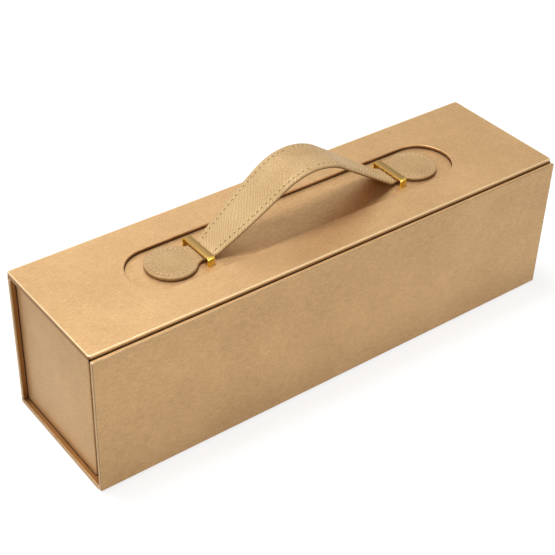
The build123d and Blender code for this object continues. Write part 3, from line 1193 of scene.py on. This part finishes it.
@dataclass
class Loops:
    """The two brass loops: flat strip bent over the strap, with prongs under the lid."""

    bench: Bench
    strip: float = 0.8 * MM
    corner: float = 1.2 * MM
    prong: float = 6.0 * MM
    edge: float = 0.16 * MM
    square_from: float = math.radians(80)

    def build(self) -> None:
        """Builds both loops."""
        for side in ("left", "right"):
            self.loop(side)

    def loop(self, side: str) -> None:
        """Builds one loop.

        Args:
            side: The name of its side of the box.
        """
        node = f"{side}_brass_loop"
        low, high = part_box(node)
        middle = (low + high) / 2
        half = self.strip / 2
        leg = (high.y - low.y) / 2 - self.prong
        mesh = bmesh.new()
        end = Vector((middle.x, middle.y - leg - self.prong, low.z + half))
        size = Matrix.Diagonal((high.x - low.x, self.strip, 1.0, 1.0))
        matrix = Matrix.Translation(end) @ Matrix.Rotation(math.radians(90), 4, "X") @ size
        bmesh.ops.create_grid(mesh, x_segments=1, y_segments=1, size=0.5, matrix=matrix)
        geom: list[Any] = mesh.faces[:]

        def straight(geom: list[Any], step: Pair) -> list[Any]:
            """Draws the strip on in a straight line.

            Args:
                geom: What ends the strip so far.
                step: How far it goes in Y and Z.

            Returns:
                What ends the strip now.
            """
            faces = only(geom, bmesh.types.BMFace)
            made = bmesh.ops.extrude_face_region(mesh, geom=faces)["geom"]
            bmesh.ops.translate(mesh, verts=only(made, bmesh.types.BMVert), vec=(0, *step))
            return made

        def bend(geom: list[Any], centre: Pair, angle: float, steps: int) -> list[Any]:
            """Draws the strip on round a bend.

            Args:
                geom: What ends the strip so far.
                centre: The point that it bends about, in Y and Z.
                angle: How far it bends, in degrees.
                steps: How many parts the bend has.

            Returns:
                What ends the strip now.
            """
            return bmesh.ops.spin(
                mesh,
                geom=only(geom, bmesh.types.BMFace),
                cent=(0, *centre),
                axis=(1, 0, 0),
                angle=math.radians(angle),
                steps=steps,
                use_duplicate=False,
            )["geom_last"]

        front = middle.y - leg
        rear = middle.y + leg
        foot = self.prong - half
        low_bend = low.z + self.strip
        high_bend = high.z - half - self.corner
        geom = straight(geom, (foot, 0))
        geom = bend(geom, (front - half, low_bend), 90, 4)
        geom = straight(geom, (0, high_bend - low_bend))
        geom = bend(geom, (front + self.corner, high_bend), -90, 8)
        geom = straight(geom, (2 * (leg - self.corner), 0))
        geom = bend(geom, (rear - self.corner, high_bend), -90, 8)
        geom = straight(geom, (0, low_bend - high_bend))
        geom = bend(geom, (rear + half, low_bend), 90, 4)
        straight(geom, (foot, 0))
        closed(mesh)
        inside = [face for face in mesh.faces if all(len(edge.link_faces) > 2 for edge in face.edges)]
        bmesh.ops.delete(mesh, geom=inside, context="FACES_ONLY")
        walls = [edge for edge in mesh.edges if len(edge.link_faces) == 2]
        square = [edge for edge in walls if edge.calc_face_angle(0.0) > self.square_from]
        rounded(mesh, square, self.edge, 2)
        made = self.bench.piece(f"{side}_loop", closed(mesh), self.bench.finishes.brass, Slot.BRASS)
        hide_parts(node)
        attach(made, "lid")


@dataclass
class StrapForm:
    """The shape of the whole strap: its line over the lid, its width, its padded section."""

    middle: float
    base: float
    thickness: float
    crown_rise: float
    tab_radius: float
    tab_tip: float
    crown_radius: float = 40.0 * MM
    root_radius: float = 18.0 * MM
    root_place: float = 74.7 * MM
    neck_width: float = 17.0 * MM
    crown_width: float = 31.0 * MM
    waist: float = 74.0 * MM
    taper: float = 2.2
    shoulder: float = 6.0 * MM
    stitch_inset: float = 3.1 * MM
    stitch_groove: float = 0.22 * MM
    groove_over: float = 0.6 * MM
    groove_under: float = 0.5 * MM
    padding: float = 0.45 * MM
    padding_reach: float = 3.5 * MM
    top_round: float = 0.7 * MM
    under_round: float = 0.5 * MM
    bevel: float = 5.0 * MM
    bevel_rise: float = 0.4 * MM
    bevel_end: float = 66.0 * MM
    bevel_fade: float = 14.0 * MM
    outline_from: float = 60.0 * MM
    samples: int = 4001

    PATTERN = "strap_pattern"

    def __post_init__(self) -> None:
        """Works out the line's arcs, and how long it is at each place along the box."""
        both = self.crown_radius + self.root_radius
        drop = both - self.crown_rise
        apart = math.hypot(self.root_place, drop)
        self.tilt = math.asin(both / apart) - math.atan2(drop, self.root_place)
        self.centre = self.tab_tip - self.tab_radius
        self.xs = np.linspace(-self.tab_tip, self.tab_tip, self.samples)
        heights = np.array([self.line(x)[0] for x in self.xs])
        steps = np.hypot(np.diff(self.xs), np.diff(heights))
        self.lengths = np.concatenate([[0.0], np.cumsum(steps)])
        self.lengths -= np.interp(0.0, self.xs, self.lengths)

    def line(self, x: float) -> Pair:
        """Follows the strap's middle layer.

        Args:
            x: The place along the box.

        Returns:
            The height there, and the slope.
        """
        side = -1 if x < 0 else 1
        out = abs(x)
        tilt = self.tilt
        crown_end = self.crown_radius * math.sin(tilt)
        top = self.base + self.crown_rise
        if out <= crown_end:
            leg = math.sqrt(self.crown_radius**2 - out**2)
            return top - self.crown_radius + leg, -side * out / leg
        if out <= self.root_place - self.root_radius * math.sin(tilt):
            start = top - self.crown_radius * (1 - math.cos(tilt))
            return start - (out - crown_end) * math.tan(tilt), -side * math.tan(tilt)
        if out <= self.root_place:
            reach = self.root_place - out
            leg = math.sqrt(self.root_radius**2 - reach**2)
            return self.base + self.root_radius - leg, -side * reach / leg
        return self.base, 0.0

    def set_out(self, x: float, y: float, height: float) -> Vector:
        """Places a point of the flat strap on the box.

        Args:
            x: The place along the box of the point of the middle layer under it.
            y: The place across the strap.
            height: The height over the middle layer.

        Returns:
            The point on the box.
        """
        level, slope = self.line(x)
        stretch = math.sqrt(1 + slope * slope)
        return Vector((x - height * slope / stretch, self.middle + y, level + height / stretch))

    def half_width(self, x: float) -> float:
        """Gives half the strap's width between the tabs' shoulders.

        Args:
            x: The place along the box.

        Returns:
            Half the width there.
        """
        share = min(abs(x) / self.waist, 1.0)
        spread = self.crown_width - self.neck_width
        return (self.neck_width + spread * (1 - share**self.taper)) / 2

    def tab_half_width(self, x: float) -> float:
        """Gives half the width of the neck, the shoulder and the round of a tab.

        Args:
            x: The place along the box.

        Returns:
            Half the width there.
        """
        out = abs(x)
        reach = self.tab_radius + self.shoulder
        drop = self.neck_width / 2 + self.shoulder
        run = math.sqrt(reach**2 - drop**2)
        shoulder_start = self.centre - run
        if out <= shoulder_start:
            return self.half_width(x)
        if out <= self.centre - run * self.tab_radius / reach:
            return drop - math.sqrt(max(self.shoulder**2 - (out - shoulder_start) ** 2, 0.0))
        return math.sqrt(max(self.tab_radius**2 - (out - self.centre) ** 2, 0.0))

    def face(self, x: float, inset: float, upper: bool) -> float:
        """Gives the height of the upper or the lower face over the middle layer.

        Args:
            x: The place along the box.
            inset: The distance from the strap's edge.
            upper: Whether it is the upper face.

        Returns:
            The height, which is below 0 for the lower face.
        """
        off = inset - self.stitch_inset
        if upper:
            plump = self.padding * (1 - math.exp(-inset / self.padding_reach))
            groove = self.stitch_groove * math.exp(-((off / self.groove_over) ** 2))
            return self.thickness / 2 + plump - fall(self.top_round, inset) - groove
        thinned = min(max((self.bevel_end - abs(x)) / self.bevel_fade, 0.0), 1.0)
        rise = thinned * self.bevel_rise * max(1 - inset / self.bevel, 0.0) ** 1.5
        groove = self.stitch_groove * 0.5 * math.exp(-((off / self.groove_under) ** 2))
        return rise + fall(self.under_round, inset) + groove - self.thickness / 2

    def outline(self, side: int) -> np.ndarray:
        """Draws the outline of a tab, from the neck round the tip and back.

        Args:
            side: -1 for the left tab, 1 for the right.

        Returns:
            The points of the outline, X and Y.
        """
        reach = np.linspace(self.outline_from, self.centre, 160)
        turns = np.linspace(math.pi / 2, -math.pi / 2, 121)
        rows = [(x, self.tab_half_width(x)) for x in reach]
        for turn in turns:
            rows.append((self.centre + self.tab_radius * math.cos(turn), self.tab_radius * math.sin(turn)))
        rows += [(x, -self.tab_half_width(x)) for x in reach[::-1]]
        return np.array(rows) * (side, 1)


@dataclass(frozen=True)
class Seam:
    """A seam: from stitch to stitch, half the thread's width, half a needle hole's length."""

    pitch: float
    thread: float
    hole: float
    flattened: float = 0.8
    depth: float = 0.12 * MM
    proud: float = 0.06 * MM


@dataclass
class Strap:
    """The stitched strap handle: two halves of the arch, two tabs, their thread and holes."""

    bench: Bench
    split: float = 66.0 * MM
    crown: float = 8.0 * MM
    tab_start: float = 80.0 * MM
    settled: float = 2.0 * MM
    patch: float = 6.0 * MM
    neck_share: float = 0.45
    fill: float = 0.7
    arch_seam: Seam = Seam(3.62 * MM, 0.2 * MM, 0.7 * MM)
    tab_seam: Seam = Seam(2.9 * MM, 0.26 * MM, 0.38 * MM)

    def __post_init__(self) -> None:
        """Reads where the strap lies."""
        low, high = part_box("left_strap_tab")
        crown_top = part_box("strap_crown")[1].z
        base = (low.z + high.z) / 2
        thickness = high.z - low.z
        self.form = StrapForm(
            middle=(low.y + high.y) / 2,
            base=base,
            thickness=thickness,
            crown_rise=crown_top - self.settled - thickness / 2 - base,
            tab_radius=(high.y - low.y) / 2,
            tab_tip=-low.x,
            bevel_end=self.split,
        )

    def build(self) -> None:
        """Builds the strap's pieces and sews them."""
        for side, name in ((-1, "left"), (1, "right")):
            self.arch(side, name)
            self.tab(side, name)
            edges = [self.arch_path(side, -1), self.arch_path(side, 1)]
            self.sew(side, f"{name}_arch", edges, self.arch_seam, "grip", self.crown)
            line = self.tab_path(side)
            self.sew(side, f"{name}_tab", [line], self.tab_seam, f"{name}_tab", self.tab_start)

    def bend(self, piece: bpy.types.Object, side: int, body: str, end: float) -> None:
        """Lets a piece follow the lid where the arch meets the neck, and a body further on.

        Args:
            piece: The piece.
            side: -1 for the left side, 1 for the right.
            body: The body, the grip or a tab.
            end: How far along the box it follows that body alone.
        """
        level = self.form.base
        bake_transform(piece, "lid", body, (side * self.split, 0, level), (side * end, 0, level))

    def sheet(
        self, cuts: tuple[int, int], flat: Callable[[float, float], tuple[float, float, float]]
    ) -> bmesh.types.BMesh:
        """Makes a padded sheet of the strap.

        Args:
            cuts: How finely it is divided, along and across.
            flat: Gives the flat place and the distance from the edge, for a place from -1 to 1
                along the sheet and across it.

        Returns:
            The closed mesh, with its flat pattern as its UV map.
        """
        mesh = bmesh.new()
        bmesh.ops.create_grid(mesh, x_segments=cuts[0], y_segments=cuts[1], size=1.0)
        bmesh.ops.solidify(mesh, geom=mesh.faces[:], thickness=1.0)
        levels = [vert.co.z for vert in mesh.verts]
        split = (max(levels) + min(levels)) / 2
        pattern = mesh.loops.layers.uv.new(StrapForm.PATTERN)
        painted_shade_and_edge = mesh.verts.layers.float.new(PAINTED_SHADE_AND_EDGE)
        places: dict[int, Pair] = {}
        mesh.verts.index_update()
        for vert in mesh.verts:
            x, y, inset = flat(vert.co.x, vert.co.y)
            upper = vert.co.z > split
            # Dark edge paint on the underside's rounded edge, which also paints the shade under the strap's
            # edge.
            vert[painted_shade_and_edge] = 1.0 if not upper and inset < self.form.under_round else 0.0
            places[vert.index] = (float(np.interp(x, self.form.xs, self.form.lengths)), y)
            vert.co = self.form.set_out(x, y, self.form.face(x, inset, upper))
        for face in mesh.faces:
            for loop in face.loops:
                loop[pattern].uv = places[loop.vert.index]
        bmesh.ops.recalc_face_normals(mesh, faces=mesh.faces)
        return mesh

    def arch(self, side: int, name: str) -> None:
        """Builds the half of the arch on one side.

        Args:
            side: -1 for the left half, 1 for the right.
            name: The side's name.
        """

        def flat(u: float, v: float) -> tuple[float, float, float]:
            """Spreads the grid over the half, closer together at the edges.

            Args:
                u: The place along the grid, from -1 to 1.
                v: The place across it, from -1 to 1.

            Returns:
                The flat place, and the distance from the edge.
            """
            x = side * self.split * (u + 1) / 2
            half = self.form.half_width(x)
            y = half * math.sin(math.pi / 2 * v)
            return x, y, half - abs(y)

        mesh = self.sheet((96, 48), flat)
        piece = self.bench.piece(f"{name}_strap_arch", mesh, self.bench.finishes.leather, Slot.STRAP)
        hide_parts(f"{name}_strap_flank", *(["strap_crown"] if side < 0 else []))
        self.bend(piece, side, "grip", self.crown)

    def tab(self, side: int, name: str) -> None:
        """Builds the neck and the round tab on one side.

        Args:
            side: -1 for the left tab, 1 for the right.
            name: The side's name.
        """
        form = self.form
        outline = form.outline(side)
        seam = form.centre - self.patch
        corner = math.radians(45)
        start = math.acos(-self.patch / form.tab_radius)
        neck_share = self.neck_share

        def rim(angle: float) -> Pair:
            """Gives a point on the tab's round, by its angle from the tip."""
            return form.centre + form.tab_radius * math.cos(angle), form.tab_radius * math.sin(angle)

        def flat(u: float, v: float) -> tuple[float, float, float]:
            """Spreads the grid over the neck, and over the round as a patch without a pole.

            Args:
                u: The place along the grid, from -1 to 1.
                v: The place across it, from -1 to 1.

            Returns:
                The flat place, and the distance from the edge.
            """
            along = (u + 1) / 2
            across = math.sin(math.pi / 2 * v)
            if along <= neck_share:
                x = self.split + (seam - self.split) * along / neck_share
                y = form.tab_half_width(x) * across
            else:
                share = math.sin(math.pi / 2 * (along - neck_share) / (1 - neck_share))
                rim_x, rim_y = rim(start + (corner - start) * share)
                end_x, end_y = rim(corner * across)
                corner_x, corner_y = rim(corner)
                x = rim_x + share * (end_x - corner_x)
                y = rim_y * across + share * (end_y - corner_y * across)
            gaps = outline - np.array((side * x, y))
            on_edge = abs(v) > 0.9999 or u > 0.9999
            inset = 0.0 if on_edge else float(np.sqrt((gaps * gaps).sum(axis=1).min()))
            return side * x, y, inset

        mesh = self.sheet((72, 44), flat)
        piece = self.bench.piece(f"{name}_strap_end", mesh, self.bench.finishes.leather, Slot.STRAP)
        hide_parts(f"{name}_strap_tab")
        self.bend(piece, side, f"{name}_tab", self.tab_start)

    def tab_path(self, side: int) -> np.ndarray:
        """Draws the line of stitches round a tab, inside its outline.

        Args:
            side: -1 for the left tab, 1 for the right.

        Returns:
            The points of the line, X and Y.
        """
        outline = self.form.outline(side)
        heading = np.gradient(outline, axis=0)
        heading /= np.linalg.norm(heading, axis=1)[:, None]
        inward = np.stack([heading[:, 1], -heading[:, 0]], axis=1) * side
        path = outline + inward * self.form.stitch_inset
        return path[np.abs(path[:, 0]) >= self.split]

    def arch_path(self, side: int, edge: int) -> np.ndarray:
        """Draws the line of stitches along one edge of a half of the arch.

        Args:
            side: -1 for the left half, 1 for the right.
            edge: -1 for the front edge, 1 for the back.

        Returns:
            The points of the line, X and Y.
        """
        form = self.form
        reach = np.linspace(0.0, self.split, 400)
        return np.array([(side * x, edge * (form.half_width(x) - form.stitch_inset)) for x in reach])

    def sew(
        self, side: int, name: str, lines: list[np.ndarray], seam: Seam, body: str, end: float
    ) -> None:
        """Sews along lines through both faces, and lets the thread bend with the strap.

        Args:
            side: -1 for the left side, 1 for the right.
            name: What the pieces' names start with.
            lines: The points of each line, X and Y.
            seam: The kind of seam.
            body: The body that the seam follows at its far end.
            end: How far along the box it follows that body alone.
        """
        thread = bmesh.new()
        holes = bmesh.new()
        for line in lines:
            self.run(thread, holes, line, seam)
        finishes = self.bench.finishes
        for kind, mesh, finish in (("thread", thread, finishes.thread), ("holes", holes, finishes.hole)):
            piece = self.bench.piece(f"{name}_{kind}", mesh, finish, Slot.STRAP)
            self.bend(piece, side, body, end)

    def run(
        self, thread: bmesh.types.BMesh, holes: bmesh.types.BMesh, line: np.ndarray, seam: Seam
    ) -> None:
        """Sews along one line, through both faces.

        Args:
            thread: The mesh that takes the stitches.
            holes: The mesh that takes the needle holes.
            line: The points of the line, X and Y.
            seam: The kind of seam.
        """
        form = self.form
        pitch = seam.pitch
        flat_x = np.interp(line[:, 0], form.xs, form.lengths)
        steps = np.hypot(np.diff(flat_x), np.diff(line[:, 1]))
        length = np.concatenate([[0.0], np.cumsum(steps)])
        count = int(length[-1] / pitch)
        spare = (length[-1] - count * pitch) / 2
        lying = (pitch / 2 - seam.hole, seam.thread, seam.thread * seam.flattened)
        pierced = (seam.hole, seam.hole * seam.flattened, seam.depth)

        def place(at: float) -> Pair:
            """Gives the point at a distance along the line."""
            return float(np.interp(at, length, line[:, 0])), float(np.interp(at, length, line[:, 1]))

        for number in range(count):
            at = spare + (number + 0.5) * pitch
            x, y = place(at)
            ahead_x, ahead_y = place(at + pitch / 4)
            hole_x, hole_y = place(at + pitch / 2)
            stretch = math.sqrt(1 + form.line(x)[1] ** 2)
            heading = math.atan2(ahead_y - y, (ahead_x - x) * stretch)
            for face in (1, -1):
                rest = form.face(x, form.stitch_inset, face > 0)
                self.bead(thread, (x, y, rest + face * seam.proud), heading, lying)
                self.bead(holes, (hole_x, hole_y, rest), heading, pierced)

    def bead(
        self,
        mesh: bmesh.types.BMesh,
        place: tuple[float, float, float],
        heading: float,
        half: tuple[float, float, float],
    ) -> None:
        """Lays one small rounded bead on the strap.

        Args:
            mesh: The mesh to add it to.
            place: Its place along and across the strap, and over its middle layer.
            heading: The way it points on the flat strap.
            half: Half its length, width and thickness.
        """
        slope = self.form.line(place[0])[1]
        matrix = (
            Matrix.Translation(self.form.set_out(*place))
            @ Matrix.Rotation(-math.atan(slope), 4, "Y")
            @ Matrix.Rotation(heading, 4, "Z")
            @ Matrix.Diagonal((*half, 1.0))
            @ Matrix.Rotation(math.radians(90), 4, "Y")
        )
        bmesh.ops.create_uvsphere(mesh, u_segments=6, v_segments=5, radius=1.0, matrix=matrix)


@dataclass(frozen=True)
class Lamp:
    """A round soft lamp: its place, its width and its power in watts."""

    name: str
    place: tuple[float, float, float]
    size: float
    power: float

    def hang(self, aim: tuple[float, float, float]) -> None:
        """Hangs the lamp.

        Args:
            aim: The point that it is turned towards.
        """
        data = bpy.data.lights.new(self.name, "AREA")
        data.shape = "DISK"
        data.size = self.size
        data.energy = self.power
        lamp = put_up(self.name, data)
        lamp.location = self.place
        way = Vector(aim) - Vector(self.place)
        lamp.rotation_euler = way.to_track_quat("-Z", "Y").to_euler()


@dataclass
class Studio:
    """The camera, the lamps and the pale floor."""

    camera_place: tuple[float, float, float] = (-0.4199, -0.5138, 0.5493)
    azimuth: float = -38.19
    elevation: float = 37.01
    roll: float = 2.07
    lens: float = 84.61
    sensor: float = 36.0
    floor_size: float = 8.0
    floor_near: float = 0.6
    floor_fade: float = 1.0
    matt_floor: Colour = (0.5, 0.5, 0.5, 1.0)
    lit_floor: Colour = (0.3, 0.3, 0.3, 1.0)
    floor_glow: float = 0.8
    near_mirrored: float = 0.52
    far_mirrored: float = 0.6
    sky: Colour = (1.0, 0.99, 0.97, 1.0)
    sky_level: float = 0.17
    sky_mirrored: float = 0.46
    white: Colour = (1.0, 1.0, 1.0, 1.0)
    lamps_aim: tuple[float, float, float] = (0.0, 0.0, 0.06)
    lamps: tuple[Lamp, ...] = (
        Lamp("key_lamp", (-0.3, 0.5, 2.3), 0.8, 41.0),
        Lamp("back_lamp", (0.5, 1.6, 1.5), 1.6, 2.8),
        Lamp("left_lamp", (-1.8, 0.1, 1.05), 0.9, 11.0),
        Lamp("front_fill", (0.6, -2.4, 0.7), 1.4, 22.0),
    )

    def build(self) -> None:
        """Sets up the whole studio."""
        bpy.context.scene.view_settings.view_transform = "Standard"
        self.camera()
        self.floor()
        self.world()
        for lamp in self.lamps:
            lamp.hang(self.lamps_aim)

    def camera(self) -> None:
        """Places the camera where the photograph was taken from."""
        turn = math.radians(self.azimuth)
        tilt = math.radians(self.elevation)
        roll = math.radians(self.roll)
        level = Vector((-math.sin(turn), math.cos(turn), 0))
        ahead = level * math.cos(tilt) - Vector((0, 0, math.sin(tilt)))
        right = ahead.cross(Vector((0, 0, 1))).normalized()
        above = right.cross(ahead)
        across = right * math.cos(roll) + above * math.sin(roll)
        upward = above * math.cos(roll) - right * math.sin(roll)
        data = bpy.data.cameras.new("camera")
        data.lens = self.lens
        data.sensor_width = self.sensor
        data.clip_start = 0.05
        data.clip_end = 50.0
        camera = put_up("camera", data)
        facing = Matrix((across, upward, -ahead)).transposed().to_4x4()
        camera.matrix_world = Matrix.Translation(self.camera_place) @ facing
        bpy.context.scene.camera = camera

    def floor(self) -> None:
        """Lays the pale floor, white to the camera but for the object's shadow."""
        mesh = bmesh.new()
        bmesh.ops.create_grid(mesh, x_segments=1, y_segments=1, size=self.floor_size / 2)
        data = bpy.data.meshes.new("floor")
        mesh.to_mesh(data)
        mesh.free()
        graph = Graph("floor_white")
        shown = graph.shown()
        glossy = graph.ray("Glossy")
        matt = graph.add("BsdfDiffuse", {"Color": self.matt_floor})
        lit = graph.add("BsdfDiffuse", {"Color": self.lit_floor})
        glow = graph.add("Emission", {"Color": self.white, "Strength": self.floor_glow})
        white = graph.add("AddShader", {0: lit, 1: glow})
        share = shown.at_least(glossy * self.near_mirrored)
        near = graph.add("MixShader", {0: share, 1: matt, 2: white})
        level = shown.at_least(glossy * self.far_mirrored)
        far = graph.add("Emission", {"Color": self.white, "Strength": level})
        reach = graph.add("VectorMath", {0: graph.place()}, {"operation": "LENGTH"}, "Value")
        away = reach.rise(self.floor_near, self.floor_fade)
        graph.end(graph.add("MixShader", {0: away, 1: near, 2: far}))
        data.materials.append(graph.owner)
        put_up("floor", data)

    def world(self) -> None:
        """Gives the world its soft even light, white to the camera."""
        world = bpy.data.worlds.new("studio")
        bpy.context.scene.world = world
        graph = Graph("studio", world)
        level = graph.ray("Glossy") * self.sky_mirrored + self.sky_level
        soft = graph.add("Background", {"Color": self.sky, "Strength": level})
        white = graph.add("Background", {"Color": self.white, "Strength": 1.0})
        graph.end(graph.add("MixShader", {0: graph.shown(), 1: soft, 2: white}))


def main() -> None:
    """Builds the studio and every part of the box, then writes how large it came out."""
    logging.basicConfig(level=logging.INFO, format="%(name)s: %(message)s")
    bench = Bench(Finishes())
    Studio().build()
    for part in (Case, Tray, MagnetBar, BottleBed, Loops, Strap):
        part(bench).build()


if __name__ == "__main__":
    main()
